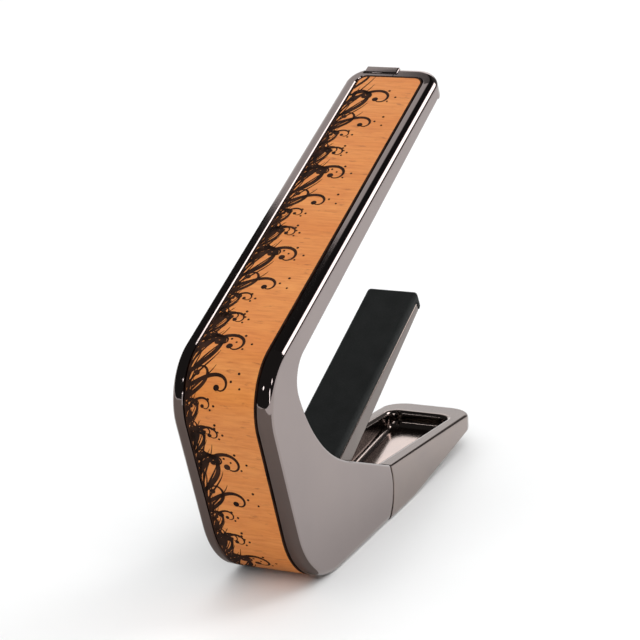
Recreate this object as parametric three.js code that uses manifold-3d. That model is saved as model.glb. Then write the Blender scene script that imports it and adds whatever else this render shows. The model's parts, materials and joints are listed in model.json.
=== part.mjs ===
// Spring guitar capo: a bent two-half body with a wood inlay, a sprung neck arm and a squeeze lever.
// Millimetres, +Z up. The capo stands on the lower side of its body, X runs along the jaw, Y across it.
// Side profiles are drawn in XZ from the heel, the corner where the riser's line meets the ground.
import * as THREE from 'three';
import { mergeVertices } from 'three/addons/utils/BufferGeometryUtils.js';
import Module from 'manifold-3d';

const wasm = await Module();
wasm.setup();

const DEGREE = Math.PI / 180;
const ARC_STEP = 9 * DEGREE;    // how finely round corners are divided
const SEAM = 0.1;               // between the two body halves
const FIT = 0.15;               // round a bush, a pin or a bonded piece
const GAP = 0.3;                // round everything else

// body: an arm, a riser and a foot that meet at the shoulder and the heel
const HALF = 15.5 / 2;
const ARM = { length: 75, angle: 23.4 * DEGREE };
const RISER = { length: 37, angle: 72.6 * DEGREE };
const HEEL_X = 28.624;
const HEEL_RADIUS = 14.2;
const SHOULDER_RADIUS = 9;
const TIP = { depth: 2.9, lip: 1.3, lipDepth: 4.4, corner: 3 };
const JAW = { corner: [1.3, 34.5], cornerRadius: 4.5, floor: [-5.2, 19.45], floorRadius: 29 };
const ROUND = { outer: 1.25, inner: 0.4 };
const KNUCKLE = { radius: 7.5, top: 152 * DEGREE };
const CAVITY = {
  half: 6.05, notch: -24.4, low: 2, step: -18.5, high: 2.5, right: -13, outside: [-34, 14], clear: 0.45,
};

// inlay, and the plate under it that ties the halves
const INLAY = { half: 5.6, thickness: 1.2, armEnd: 73.1, footEnd: -17.2, bed: 1.45, bedHalf: 5.85 };
const PLATE = { low: 11.5, high: 28.6, half: 4.6, top: 1.5, bottom: 2.3 };
const SCREW = { head: 1.6, shank: 0.9, tip: 7.4, side: 2.7, places: [15.2, 25.8], socket: 0.6 };

// dowels that line the halves up
const DOWEL_HALF = 4.2;
const DOWEL_RADIUS = { thick: 1, thin: 0.6 };
const DOWEL_PLACES = { heel: [-1.6, 11.4], shoulder: [5, 32.2], armLow: [30, 2.75], armHigh: [52, 2.45] };

// mechanism
const LEVER_PIVOT = [-23.7, 5.3];
const NECK_PIVOT = [-11.2, 8.8];
const PIN = { radius: 1.1, half: 6.8, bore: 6.95 };
const BUSH_RADIUS = 1.8;
const SPACER_RADIUS = 2.2;
const EAR = { inner: 4.6, outer: 5.8, hub: 3, end: 2.4, slotTravel: 0.5, slotHalf: 1.35 };
const BUMPER = { centre: [-16.9, 10.7], radius: 1, inner: 4.6, outer: 6.5 };
const SPRING = { radius: 2.35, wire: 0.8, turns: 5, half: 2.5, leg: 11, sleeve: 1.75 };

// neck arm, measured from its tip along and down from its contact face
const NECK = { tip: [-51.8, 30.2], angle: 24.9 * DEGREE, half: 4.35, inner: 3.3, web: 1, endWall: 1.2 };
const NECK_DEPTH = { tip: 3, root: 5.2, rootAt: 38 };
const NECK_HUB = 3.6;
const LINK_LOBE = 2.2;
const NECK_PAD = { length: 37.7, thickness: 1.5, cap: 1.3, chamfer: 0.7 };

// lever
const LEVER = { lift: 0.15, bend: -39.7, rise: 5 * DEGREE, tip: -66.3, rim: 4.4, edge: 0.5 };
const LEVER_TIP_ROUND = { low: 0.8, high: 0.7 };
const TRAY = { wall: 1.55, floor: 1.2, end: 3.4, corner: 4.2, insideCorner: 2.6 };
const TONGUE = { half: 5.8, end: -24.7, corner: 1.8 };

// fret pad, measured along the inner face of the arm from its tip
const PAD = { half: 6.5, start: 1.65, end: 62, carrier: 0.9, edge: 0.6, crown: 1.3 };
const PEG = { radius: 1, length: 0.8, places: [12, 33, 54] };
const LATCH = { left: -5.2, right: 0.5, start: 73.75, end: 75.6, proud: 0.6, depth: 4.1, edge: 0.25 };

const FINISH = {
  shell: { color: 0x8f857f, roughness: 0.24, metalness: 1 },
  plate: { color: 0x8a7a6c, roughness: 0.3, metalness: 1 },
  steel: { color: 0x9a9a9c, roughness: 0.35, metalness: 1 },
  bronze: { color: 0xa8843f, roughness: 0.4, metalness: 1 },
  spring: { color: 0x55575c, roughness: 0.4, metalness: 1 },
  wood: { color: 0xd98a50, roughness: 0.45, metalness: 0 },
  rubber: { color: 0x1b1d1d, roughness: 0.7, metalness: 0 },
  plastic: { color: 0x141516, roughness: 0.5, metalness: 0 },
  nylon: { color: 0xd8d4c8, roughness: 0.55, metalness: 0 },
};

// ---- points and outlines in the side plane ----

const at = (x, z) => new THREE.Vector2(x, z);
const lerp = (a, b, share) => a.clone().lerp(b, share);
const polar = (centre, radius, angle) =>
  at(Math.cos(angle), Math.sin(angle)).multiplyScalar(radius).add(centre);

function arc(centre, radius, from, to, step = ARC_STEP) {
  const steps = Math.max(2, Math.ceil(Math.abs(to - from) / step));
  return Array.from({ length: steps + 1 }, (_, i) => polar(centre, radius, from + (to - from) * i / steps));
}

// Takes [point, radius] corners of a closed outline and rounds those with a radius.
function rounded(corners) {
  const count = corners.length;
  return corners.flatMap(([point, radius], i) => {
    if (!radius) return [point];
    const back = corners[(i + count - 1) % count][0].clone().sub(point).normalize();
    const on = corners[(i + 1) % count][0].clone().sub(point).normalize();
    const half = Math.acos(back.dot(on)) / 2;
    const centre = back.clone().add(on).normalize().multiplyScalar(radius / Math.sin(half)).add(point);
    const reach = radius / Math.tan(half);
    const from = back.clone().multiplyScalar(reach).add(point).sub(centre).angle();
    const to = on.clone().multiplyScalar(reach).add(point).sub(centre).angle();
    const sweep = THREE.MathUtils.euclideanModulo(to - from + Math.PI, 2 * Math.PI) - Math.PI;
    return arc(centre, radius, from, from + sweep);
  });
}

const heel = at(0, 0);
const shoulder = polar(heel, RISER.length, RISER.angle);
const armOut = at(-Math.cos(ARM.angle), Math.sin(ARM.angle));
const armIn = at(-Math.sin(ARM.angle), -Math.cos(ARM.angle));
const riserUp = at(Math.cos(RISER.angle), Math.sin(RISER.angle));
const riserIn = at(-riserUp.y, riserUp.x);
const footIn = at(0, 1);
const onArm = (along, depth) =>
  shoulder.clone().addScaledVector(armOut, along).addScaledVector(armIn, depth);
const onRiser = (along, depth) =>
  heel.clone().addScaledVector(riserUp, along).addScaledVector(riserIn, depth);

const DOWELS = [
  { name: 'heel_dowel', centre: DOWEL_PLACES.heel, radius: DOWEL_RADIUS.thick },
  { name: 'shoulder_dowel', centre: DOWEL_PLACES.shoulder, radius: DOWEL_RADIUS.thick },
  { name: 'arm_dowel_low', centre: onArm(...DOWEL_PLACES.armLow).toArray(), radius: DOWEL_RADIUS.thin },
  { name: 'arm_dowel_high', centre: onArm(...DOWEL_PLACES.armHigh).toArray(), radius: DOWEL_RADIUS.thin },
];

// Moves a corner inwards, to the same depth below both faces that meet there.
const inset = (corner, faceA, faceB, depth) =>
  faceA.clone().add(faceB).multiplyScalar(depth / (1 + faceA.dot(faceB))).add(corner);

// The outer faces at a depth below the surface, from a place on the arm to a place on the foot.
const outerLine = (depth, armEnd, footEnd) => rounded([
  [onArm(armEnd, depth), 0],
  [inset(shoulder, armIn, riserIn, depth), SHOULDER_RADIUS - depth],
  [inset(heel, riserIn, footIn, depth), HEEL_RADIUS - depth],
  [at(footEnd, depth), 0],
]);

// A layer of even thickness that follows the outer faces.
const layer = (top, bottom, armEnd, footEnd) =>
  [...outerLine(top, armEnd, footEnd), ...outerLine(bottom, armEnd, footEnd).reverse()];

// ---- solids ----

function toSolid(geometry) {
  const bare = geometry.index ? geometry.toNonIndexed() : geometry.clone();
  bare.deleteAttribute('normal');
  bare.deleteAttribute('uv');
  const merged = mergeVertices(bare, 1e-4);
  return new wasm.Manifold(new wasm.Mesh({
    numProp: 3,
    vertProperties: new Float32Array(merged.attributes.position.array),
    triVerts: new Uint32Array(merged.index.array),
  }));
}

function toGeometry(solid) {
  const { vertProperties, triVerts } = solid.getMesh();
  const geometry = new THREE.BufferGeometry();
  geometry.setAttribute('position', new THREE.BufferAttribute(new Float32Array(vertProperties), 3));
  geometry.setIndex(new THREE.BufferAttribute(new Uint32Array(triVerts), 1));
  const faceted = geometry.toNonIndexed();
  faceted.computeVertexNormals();
  return faceted;
}

// The Y values of a stretch on one side of the middle plane, lowest first.
const span = (side, near, far) => [side * near, side * far].sort((a, b) => a - b);

const unite = (first, ...rest) => rest.reduce((sum, solid) => sum.add(solid), first);
const cut = (first, ...rest) => rest.reduce((left, solid) => left.subtract(solid), first);

// A side outline made solid from yLow to yHigh, with its edges rounded if asked.
function slab(points, yLow, yHigh, round = 0) {
  const geometry = new THREE.ExtrudeGeometry(new THREE.Shape(points), {
    depth: yHigh - yLow - 2 * round,
    bevelEnabled: round > 0,
    bevelThickness: round,
    bevelSize: round,
    bevelOffset: -round,
    bevelSegments: 3,
  });
  geometry.rotateX(Math.PI / 2);
  geometry.translate(0, yHigh - round, 0);
  return toSolid(geometry);
}

// A slab centred on the middle plane.
const across = (points, half, round) => slab(points, -half, half, round);

// A round bar across the capo, and a tube.
function bar(centre, radius, yLow, yHigh, sides = 24) {
  const geometry = new THREE.CylinderGeometry(radius, radius, yHigh - yLow, sides);
  geometry.translate(centre[0], (yLow + yHigh) / 2, centre[1]);
  return toSolid(geometry);
}

const tube = (centre, inner, outer, yLow, yHigh) =>
  bar(centre, outer, yLow, yHigh).subtract(bar(centre, inner, yLow - 1, yHigh + 1));

// Places a geometry whose x runs across the capo and y goes into a face, at a point of the side plane.
function onFace(geometry, origin, into) {
  const basis = new THREE.Matrix4().makeBasis(
    new THREE.Vector3(0, 1, 0),
    new THREE.Vector3(into.x, 0, into.y),
    new THREE.Vector3(into.y, 0, -into.x),
  );
  return geometry.applyMatrix4(basis.setPosition(origin.x, 0, origin.y));
}

// A rounded rectangle seen square to a face, as a solid that reaches through it.
function planOutline(left, right, along, corner, reach) {
  const shape = new THREE.Shape(rounded([
    [at(left, -along), 0], [at(right, -along), 0], [at(right, 0), corner], [at(left, 0), corner],
  ]));
  const geometry = new THREE.ExtrudeGeometry(shape, { depth: 2 * reach, bevelEnabled: false });
  return geometry.translate(0, 0, -reach).rotateX(Math.PI / 2);
}

const capo = new THREE.Group();
capo.position.x = HEEL_X;

function add(name, solid, finish) {
  const mesh = new THREE.Mesh(toGeometry(solid), new THREE.MeshStandardMaterial(FINISH[finish]));
  mesh.name = name;
  capo.add(mesh);
}

// ---- neck arm frame and link ----

const neckDown = at(-Math.sin(NECK.angle), -Math.cos(NECK.angle));
const neckAlong = at(Math.cos(NECK.angle), -Math.sin(NECK.angle));
const onNeck = (along, depth) =>
  at(...NECK.tip).addScaledVector(neckAlong, along).addScaledVector(neckDown, depth);
const link = lerp(at(...LEVER_PIVOT), at(...NECK_PIVOT), 0.5).toArray();

// ---- body ----

const jawTop = at(...JAW.corner);
const armFace = onArm(ARM.length, TIP.depth);
const padAlong = jawTop.clone().sub(armFace).normalize();
const padInto = at(padAlong.y, -padAlong.x);
const onPad = (along, height) =>
  armFace.clone().addScaledVector(padAlong, along).addScaledVector(padInto, height);

function bodyBlank() {
  const knuckleLow = Math.PI + Math.asin(LEVER_PIVOT[1] / KNUCKLE.radius);
  const knuckle = arc(at(...LEVER_PIVOT), KNUCKLE.radius, knuckleLow, KNUCKLE.top);
  const outline = rounded([
    [onArm(ARM.length, 0), 0],
    [shoulder, SHOULDER_RADIUS],
    [heel, HEEL_RADIUS],
    ...knuckle.map((point) => [point, 0]),
    [at(...JAW.floor), JAW.floorRadius],
    [jawTop, JAW.cornerRadius],
    [onPad(TIP.lip, 0), 0],
    [onPad(TIP.lip, TIP.lipDepth - TIP.depth), 0],
    [onArm(ARM.length, TIP.lipDepth), 0],
  ]);
  const envelope = rounded([
    [onArm(ARM.length, 0), 0],
    [shoulder, SHOULDER_RADIUS],
    [heel, HEEL_RADIUS],
    [at(2 * LEVER.bend, 0), 0],
    [onArm(ARM.length, ARM.length / 2), 0],
  ]);
  const tipPlan = onFace(
    planOutline(-HALF, HALF, 2 * ARM.length, TIP.corner, ARM.length), onArm(ARM.length, 0), armIn);
  return across(outline, HALF, ROUND.inner)
    .intersect(across(envelope, HALF, ROUND.outer))
    .intersect(toSolid(tipPlan));
}

// The space between the side walls where the neck arm, the lever's ears and the springs work.
function mechanismSpace() {
  const { half, notch, low, step, high, right, outside, clear } = CAVITY;
  const outline = [
    at(outside[0], -1), at(notch, -1), at(notch, low), at(step, low), at(step, high), at(right, high),
    at(...NECK_PIVOT), onNeck(NECK_DEPTH.rootAt + 4, -clear), onNeck(NECK_DEPTH.rootAt - 10, -clear),
    at(...outside),
  ];
  return across(outline, half).add(bar(NECK_PIVOT, NECK_HUB + clear, -half, half));
}

const latchOutline = (grow) => [
  onArm(LATCH.start - grow, -LATCH.proud - grow), onArm(LATCH.end + grow, -LATCH.proud - grow),
  onArm(LATCH.end + grow, LATCH.depth + grow), onArm(LATCH.start - grow, LATCH.depth + grow),
];

// A round peg or hole that goes straight into a face.
function peg(radius, from, to, origin, into, side = 0) {
  const geometry = new THREE.CylinderGeometry(radius, radius, to - from, 20);
  return toSolid(onFace(geometry.translate(side, (from + to) / 2, 0), origin, into));
}

const bumperPocket = (side) => bar(BUMPER.centre, BUMPER.radius + FIT, ...span(side, 0, BUMPER.outer));

function bodyWithCuts() {
  const bed = across(layer(-1, INLAY.bed, INLAY.armEnd + GAP, INLAY.footEnd - GAP), INLAY.bedHalf);
  const plateBed = across([
    onRiser(PLATE.low - GAP, 0), onRiser(PLATE.high + GAP, 0),
    onRiser(PLATE.high + GAP, PLATE.bottom + FIT), onRiser(PLATE.low - GAP, PLATE.bottom + FIT),
  ], PLATE.half + GAP);
  const screwHoles = SCREW.places.flatMap((along) => [-SCREW.side, SCREW.side].map((side) =>
    peg(SCREW.shank + FIT, 0, SCREW.tip + GAP, onRiser(along, 0), riserIn, side)));
  const dowelHoles = DOWELS.map(({ centre, radius }) =>
    bar(centre, radius + FIT, -DOWEL_HALF - FIT, DOWEL_HALF + FIT));
  const pegHoles = PEG.places.map((along) =>
    peg(PEG.radius + FIT, -PEG.length - FIT, 1, onPad(along, 0), padInto));
  const pinHoles = [LEVER_PIVOT, NECK_PIVOT].map((centre) =>
    bar(centre, PIN.radius + FIT, -PIN.bore, PIN.bore));
  const latchSeat = slab(latchOutline(GAP), LATCH.left - GAP, LATCH.right + GAP);
  const holes = [...screwHoles, ...dowelHoles, ...pegHoles, ...pinHoles];
  const pockets = [bumperPocket(-1), bumperPocket(1)];
  return cut(bodyBlank(), bed, plateBed, mechanismSpace(), latchSeat, ...pockets, ...holes);
}

function addBody() {
  const body = bodyWithCuts();
  const room = [at(-100, -10), at(30, -10), at(30, 90), at(-100, 90)];
  add('body_half_left', body.intersect(slab(room, SEAM / 2, HALF + 1)), 'shell');
  add('body_half_right', body.intersect(slab(room, -HALF - 1, -SEAM / 2)), 'shell');
  for (const { name, centre, radius } of DOWELS) {
    add(name, bar(centre, radius, -DOWEL_HALF, DOWEL_HALF), 'steel');
  }
}

function addInlay() {
  const { half, thickness, armEnd, footEnd } = INLAY;
  add('wood_inlay', across(layer(0, thickness, armEnd, footEnd), half), 'wood');
  const plate = across([
    onRiser(PLATE.low, PLATE.top), onRiser(PLATE.high, PLATE.top),
    onRiser(PLATE.high, PLATE.bottom), onRiser(PLATE.low, PLATE.bottom),
  ], PLATE.half);
  const places = SCREW.places.flatMap((along) => [SCREW.side, -SCREW.side].map((side) => ({ along, side })));
  const holes = places.map(({ along, side }) => screwSolid(along, side, FIT));
  add('riser_plate', cut(plate, ...holes), 'steel');
  places.forEach(({ along, side }, i) => {
    const depth = PLATE.top + SCREW.socket;
    const socket = peg(SCREW.socket, PLATE.top - 1, depth, onRiser(along, 0), riserIn, side);
    add(`riser_screw_${i + 1}`, screwSolid(along, side, 0).subtract(socket), 'steel');
  });
}

// A countersunk screw, or with some growth the hole that it sits in.
function screwSolid(along, side, grow) {
  const headTop = PLATE.top + 0.05 - grow;
  const shank = SCREW.shank + grow;
  const profile = [
    [0, headTop], [SCREW.head + grow, headTop], [shank, PLATE.bottom], [shank, SCREW.tip], [0, SCREW.tip],
  ];
  const turned = new THREE.LatheGeometry(profile.map(([radius, depth]) => at(radius, depth)), 20);
  return toSolid(onFace(turned.translate(side, 0, 0), onRiser(along, 0), riserIn));
}

function addFretPad() {
  const carrierSide = [onPad(PAD.start, FIT), onPad(PAD.end, FIT), onPad(PAD.end, FIT + PAD.carrier),
    onPad(PAD.start, FIT + PAD.carrier)];
  const pegs = PEG.places.map((along) => peg(PEG.radius, -PEG.length, FIT + 0.2, onPad(along, 0), padInto));
  add('fret_pad_carrier', unite(across(carrierSide, PAD.half), ...pegs), 'plastic');
  const base = 2 * FIT + PAD.carrier;
  const crownAt = (y) => base + PAD.edge + PAD.crown * (1 - (y / PAD.half) ** 2);
  const steps = Array.from({ length: 13 }, (_, i) => PAD.half * (1 - i / 6));
  const crown = steps.map((y) => at(y, crownAt(y)));
  const section = new THREE.Shape([at(-PAD.half, base), at(PAD.half, base), ...crown]);
  const length = PAD.end - PAD.start;
  const rubber = new THREE.ExtrudeGeometry(section, { depth: length, bevelEnabled: false });
  add('fret_pad', toSolid(onFace(rubber, onPad(PAD.end, 0), padInto)), 'rubber');
  add('pad_latch', slab(latchOutline(0), LATCH.left, LATCH.right, LATCH.edge), 'shell');
}

// ---- neck arm ----

function neckArmSolid() {
  const { half, inner, web, endWall } = NECK;
  const { tip, root, rootAt } = NECK_DEPTH;
  const top = NECK_PAD.thickness;
  const blade = across([
    onNeck(NECK_PAD.cap, top), onNeck(rootAt + 6, top), at(...NECK_PIVOT), at(...link),
    onNeck(rootAt, root), onNeck(NECK_PAD.cap, tip),
  ], half);
  const hub = bar(NECK_PIVOT, NECK_HUB, -half, half, 36);
  const lobe = bar(link, LINK_LOBE, -half, half);
  const channelStart = NECK_PAD.cap + endWall;
  const channelEnd = rootAt + 12;
  const channel = across([
    onNeck(channelStart, top + web), onNeck(channelEnd, top + web),
    onNeck(channelEnd, 3 * root), onNeck(channelStart, 3 * root),
  ], inner);
  const coilSpace = bar(NECK_PIVOT, NECK_HUB + 1, -inner, inner);
  const linkHole = bar(link, PIN.radius + FIT, -half, half);
  const bushHole = bar(NECK_PIVOT, BUSH_RADIUS + FIT, -half, half);
  return cut(unite(blade, hub, lobe), channel, coilSpace, linkHole, bushHole);
}

function addNeckArm() {
  add('neck_arm', neckArmSolid(), 'shell');
  const { length, thickness, cap, chamfer } = NECK_PAD;
  const sides = across([
    onNeck(0, 0), onNeck(length, 0), onNeck(length, thickness - FIT), onNeck(cap - FIT, thickness - FIT),
    onNeck(cap - FIT, NECK_DEPTH.tip), onNeck(0, NECK_DEPTH.tip),
  ], NECK.half);
  const below = NECK_DEPTH.tip + 2 * chamfer;
  const envelope = across(
    [onNeck(0, 0), onNeck(length, 0), onNeck(length, below), onNeck(0, below)], NECK.half, chamfer);
  add('neck_pad', sides.intersect(envelope), 'rubber');
}

// ---- pins, bushes, spacers and bumpers, a pair of each on the two sides ----

function addPivots() {
  const bore = PIN.radius + FIT;
  for (const [name, side] of [['left', 1], ['right', -1]]) {
    const cheek = span(side, NECK.inner, NECK.half);
    const besideNeck = span(side, NECK.half + FIT, CAVITY.half - FIT);
    const earWidth = span(side, EAR.inner, EAR.outer);
    const bumperWidth = span(side, BUMPER.inner, BUMPER.outer - FIT);
    add(`neck_bush_${name}`, tube(NECK_PIVOT, bore, BUSH_RADIUS, ...cheek), 'bronze');
    add(`neck_spacer_${name}`, tube(NECK_PIVOT, bore, SPACER_RADIUS, ...besideNeck), 'nylon');
    add(`lever_bush_${name}`, tube(LEVER_PIVOT, bore, BUSH_RADIUS, ...earWidth), 'bronze');
    add(`rest_bumper_${name}`, bar(BUMPER.centre, BUMPER.radius, ...bumperWidth), 'rubber');
  }
  const betweenCheeks = NECK.inner - GAP;
  const betweenEars = EAR.inner - FIT;
  add('neck_pivot_pin', bar(NECK_PIVOT, PIN.radius, -PIN.half, PIN.half), 'steel');
  add('lever_pivot_pin', bar(LEVER_PIVOT, PIN.radius, -PIN.half, PIN.half), 'steel');
  add('link_pin', bar(link, PIN.radius, -EAR.outer, EAR.outer), 'steel');
  add('spring_sleeve', tube(NECK_PIVOT, bore, SPRING.sleeve, -betweenCheeks, betweenCheeks), 'nylon');
  add('lever_sleeve', tube(LEVER_PIVOT, bore, SPRING.sleeve, -betweenEars, betweenEars), 'nylon');
  add('torsion_spring', torsionSpring(), 'spring');
}

// A coil round the neck pivot; one leg runs under the neck arm's web, the other rests on the body.
function torsionSpring() {
  const { radius, wire, turns, half, leg } = SPRING;
  const pivot = at(...NECK_PIVOT);
  const start = neckDown.angle();
  const sweep = 2 * Math.PI * turns + Math.PI - start;
  const count = Math.round(turns * 12);
  const coil = Array.from({ length: count + 1 }, (_, i) => {
    const share = i / count;
    const point = polar(pivot, radius, start + share * sweep);
    return new THREE.Vector3(point.x, half * (2 * share - 1), point.y);
  });
  const first = coil[0];
  const last = coil[count];
  const webLeg = new THREE.Vector3(first.x - neckAlong.x * leg, -half, first.z - neckAlong.y * leg);
  const bodyLeg = new THREE.Vector3(last.x, half, CAVITY.high + wire);
  const path = new THREE.CatmullRomCurve3([webLeg, ...coil, bodyLeg], false, 'centripetal');
  const ring = new THREE.Shape(arc(at(0, 0), wire / 2, 0, 5 / 3 * Math.PI, Math.PI / 3));
  const options = { steps: count + 12, extrudePath: path, bevelEnabled: false };
  return toSolid(new THREE.ExtrudeGeometry(ring, options));
}

// ---- lever ----

function leverBlank() {
  const pivot = at(...LEVER_PIVOT);
  const reach = KNUCKLE.radius + GAP;
  const lowAngle = Math.PI + Math.asin((LEVER_PIVOT[1] - LEVER.lift) / reach);
  const tipZ = LEVER.lift + (LEVER.bend - LEVER.tip) * Math.tan(LEVER.rise);
  return rounded([
    [at(LEVER.bend, LEVER.lift), 0],
    [at(LEVER.tip, tipZ), LEVER_TIP_ROUND.low],
    [at(LEVER.tip, LEVER.rim), LEVER_TIP_ROUND.high],
    ...arc(pivot, reach, KNUCKLE.top + 1.5 * DEGREE, lowAngle).map((point) => [point, 0]),
  ]);
}

function topPlan(left, right, halfWidth, corner) {
  const shape = new THREE.Shape(rounded([
    [at(left, -halfWidth), corner], [at(right, -halfWidth), 0],
    [at(right, halfWidth), 0], [at(left, halfWidth), corner],
  ]));
  return toSolid(new THREE.ExtrudeGeometry(shape, { depth: 40, bevelEnabled: false }).translate(0, 0, -10));
}

function leverSolid() {
  const { wall, floor, end, corner, insideCorner } = TRAY;
  const blank = across(leverBlank(), HALF, LEVER.edge).intersect(topPlan(LEVER.tip, 0, HALF, corner));
  const floorAt = (x) => LEVER.lift + floor + Math.max(0, LEVER.bend - x) * Math.tan(LEVER.rise);
  const hollow = across([
    at(LEVER.tip, floorAt(LEVER.tip)), at(LEVER.bend, floorAt(LEVER.bend)), at(0, floorAt(0)),
    at(0, 30), at(LEVER.tip, 30),
  ], HALF).intersect(topPlan(LEVER.tip + end, 1, HALF - wall, insideCorner));
  const top = LEVER.lift + floor;
  const tonguePlan = new THREE.Shape(rounded([
    [at(LEVER.bend, -TONGUE.half), 0], [at(TONGUE.end, -TONGUE.half), TONGUE.corner],
    [at(TONGUE.end, TONGUE.half), TONGUE.corner], [at(LEVER.bend, TONGUE.half), 0],
  ]));
  const tongue = toSolid(new THREE.ExtrudeGeometry(tonguePlan, { depth: floor, bevelEnabled: false })
    .translate(0, 0, LEVER.lift));
  return unite(blank.subtract(hollow), tongue, ear(1, top), ear(-1, top));
}

// One of the two ears that carry the lever on its pivot and drive the link pin in a slot.
function ear(side, top) {
  const [low, high] = span(side, EAR.inner, EAR.outer);
  const pivot = at(...LEVER_PIVOT);
  const end = at(...link);
  const along = end.clone().sub(pivot).normalize();
  const up = at(-along.y, along.x);
  const beside = (point, ahead, aside) =>
    point.clone().addScaledVector(along, ahead).addScaledVector(up, aside);
  const foot = slab([
    at(LEVER.bend + 3, top - 0.4), at(TONGUE.end - 1.5, top - 0.4), at(pivot.x, pivot.y - EAR.hub),
    at(pivot.x, pivot.y + EAR.hub), at(-31, 7.4), at(LEVER.bend + 3, 2.8),
  ], low, high);
  const nose = slab([
    beside(pivot, 0, -EAR.hub), beside(end, 0, -EAR.end), beside(end, 0, EAR.end), beside(pivot, 0, EAR.hub),
  ], low, high);
  const { slotTravel: travel, slotHalf } = EAR;
  const slotEnds = [-travel, travel].map((ahead) =>
    bar(beside(end, ahead, 0).toArray(), slotHalf, low, high));
  const slotMiddle = slab([
    beside(end, -travel, -slotHalf), beside(end, travel, -slotHalf),
    beside(end, travel, slotHalf), beside(end, -travel, slotHalf),
  ], low, high);
  const hub = bar(LEVER_PIVOT, EAR.hub, low, high, 32);
  const plate = unite(foot, nose, hub, bar(link, EAR.end, low, high, 32));
  return cut(plate, ...slotEnds, slotMiddle, bar(LEVER_PIVOT, BUSH_RADIUS + FIT, low, high));
}

addBody();
addInlay();
addFretPad();
addNeckArm();
addPivots();
add('lever', leverSolid(), 'plate');

export default capo;
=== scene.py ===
"""The looks of a spring guitar capo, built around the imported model.

Shapes are drawn in millimetres from the heel, the corner where the riser's line meets the ground:
x along the jaw, y across it, z up. They move to the model's frame when they become pieces.
The wood strip and what lies on it are drawn flat, as (s, y, height): s runs along the outer face
from the arm's tip, and height stands out of that face. bend() then folds them round the body.
"""
import json
import math

import bmesh
import bpy
import numpy as np
from mathutils import Matrix, Vector

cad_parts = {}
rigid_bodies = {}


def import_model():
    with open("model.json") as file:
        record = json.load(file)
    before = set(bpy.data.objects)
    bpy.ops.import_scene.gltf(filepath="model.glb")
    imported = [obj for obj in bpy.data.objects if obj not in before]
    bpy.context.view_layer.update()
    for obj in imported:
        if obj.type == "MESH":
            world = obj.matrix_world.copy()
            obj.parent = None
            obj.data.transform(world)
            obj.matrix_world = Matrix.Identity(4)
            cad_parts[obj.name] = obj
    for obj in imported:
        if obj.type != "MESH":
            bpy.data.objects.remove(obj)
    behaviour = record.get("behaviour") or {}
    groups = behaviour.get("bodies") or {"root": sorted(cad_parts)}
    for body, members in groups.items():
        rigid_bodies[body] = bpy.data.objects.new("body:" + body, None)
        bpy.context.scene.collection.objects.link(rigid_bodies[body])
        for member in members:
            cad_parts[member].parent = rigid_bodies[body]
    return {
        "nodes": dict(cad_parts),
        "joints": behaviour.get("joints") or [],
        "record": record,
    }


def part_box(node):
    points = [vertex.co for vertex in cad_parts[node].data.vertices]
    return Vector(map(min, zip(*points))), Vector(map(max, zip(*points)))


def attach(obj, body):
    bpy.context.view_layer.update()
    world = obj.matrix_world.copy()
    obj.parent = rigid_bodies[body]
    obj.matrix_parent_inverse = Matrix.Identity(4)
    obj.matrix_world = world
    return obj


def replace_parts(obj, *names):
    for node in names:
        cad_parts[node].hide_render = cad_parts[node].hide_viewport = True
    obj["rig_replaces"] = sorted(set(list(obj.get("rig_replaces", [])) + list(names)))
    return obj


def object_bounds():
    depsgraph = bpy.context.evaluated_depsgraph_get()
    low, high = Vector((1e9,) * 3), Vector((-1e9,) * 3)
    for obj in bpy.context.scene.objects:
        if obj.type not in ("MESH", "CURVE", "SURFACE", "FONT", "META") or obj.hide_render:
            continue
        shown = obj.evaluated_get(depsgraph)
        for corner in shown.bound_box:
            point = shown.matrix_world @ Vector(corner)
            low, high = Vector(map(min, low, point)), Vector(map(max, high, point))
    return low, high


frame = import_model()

cad_low, cad_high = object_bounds()

MM = 0.001
DEGREE = math.pi / 180
ARC_STEP = 3 * DEGREE  # how finely an outline follows a round corner
SHARP = 32 * DEGREE  # an edge that turns by more than this is sharp
SLIVER = 1e-3  # edges shorter than this go after a cut
UV_UNIT = 100  # millimetres of the flat strip to one unit of its UV map

# body
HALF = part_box("body_half_left")[1].y / MM
ARM_LENGTH, ARM_ANGLE = 75, 23.4 * DEGREE
RISER_LENGTH, RISER_ANGLE = 37, 72.6 * DEGREE
HEEL_RADIUS, SHOULDER_RADIUS = 14.2, 9
TIP_DEPTH, TIP_LIP, TIP_LIP_DEPTH, TIP_CORNER = 2.9, 1.3, 3.5, 4
JAW_TOP, JAW_TOP_RADIUS = (1.3, 34.5), 4.5
JAW_FLOOR, JAW_FLOOR_RADIUS = (-5.2, 19.45), 29
OUTER_ROUND, INNER_ROUND, TIP_ROUND = 1.1, 0.4, 0.3
SEAM = 0.1  # between the two halves of the body
FIT = 0.15  # play round a pin, a bush or a pad

# mechanism
LEVER_PIVOT, NECK_PIVOT = (-23.7, 5.3), (-11.2, 8.8)
KNUCKLE_RADIUS, KNUCKLE_TOP = 7.5, 152 * DEGREE
CAVITY_HALF, CAVITY_FLOOR = 6.05, 2.5
HUB_RADIUS = 3.6
PIN_RADIUS, PIN_HALF, BUSH_RADIUS = 1.1, 6.95, 1.8
HEEL_X = frame["joints"][0]["pos_m"][0] / MM - LEVER_PIVOT[0]
TO_FRAME = Matrix.Scale(MM, 4) @ Matrix.Translation((HEEL_X, 0, 0))

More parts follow.
